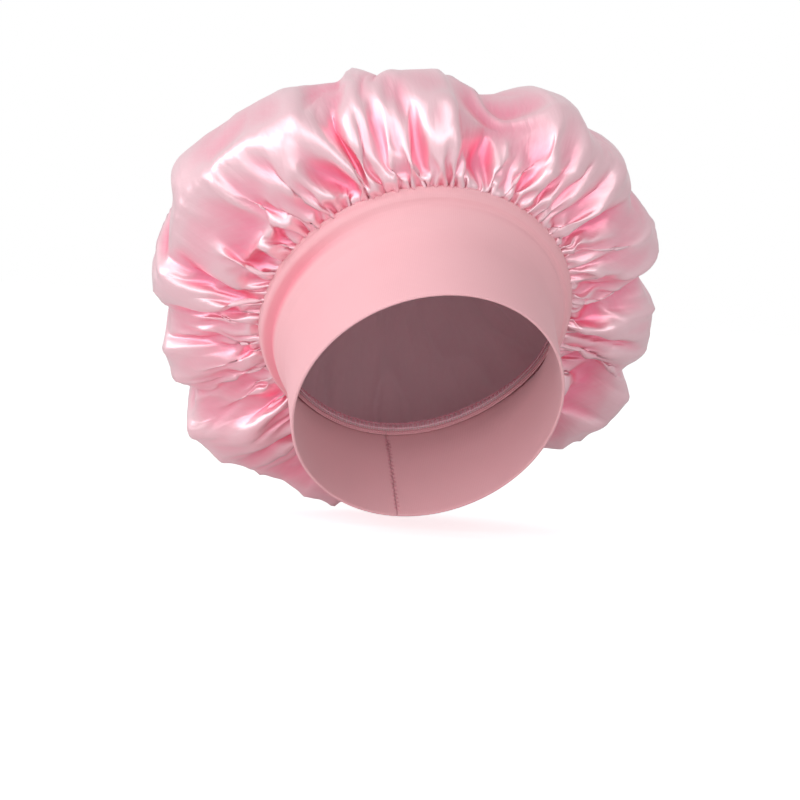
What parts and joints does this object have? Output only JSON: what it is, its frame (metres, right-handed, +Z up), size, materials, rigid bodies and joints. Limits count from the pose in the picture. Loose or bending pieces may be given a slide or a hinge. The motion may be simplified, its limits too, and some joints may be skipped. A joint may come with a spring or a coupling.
{
  "type": "sleep bonnet",
  "caption": "Sleep bonnet: a big round satin crown gathered by an elastic seam into a wide, double knit band that grips the head and keeps the hair covered.",
  "frame": {"origin": "centre of the head opening, in the plane of the band's folded lower edge", "axes": "as worn by an upright head: +X to the wearer's left, +Y towards the nape, +Z up. The opening's plane is tilted 47 degrees about X, so that the forehead side is higher than the nape"},
  "size_m": [0.3015, 0.2641, 0.2667],
  "materials": {
    "satin": "glossy pink polyester satin",
    "knit": "matte pink fine rib knit",
    "elastic": "matte woven elastic, off white",
    "thread": "spun polyester sewing thread, pink"
  },
  "bodies": {
    "root": {"crown": "satin", "band": "knit", "seam_elastic": "elastic", "gathering_thread": "thread", "seam_needle_thread": "thread", "overlock_thread": "thread", "band_join_thread": "thread"}
  },
  "joints": []
}
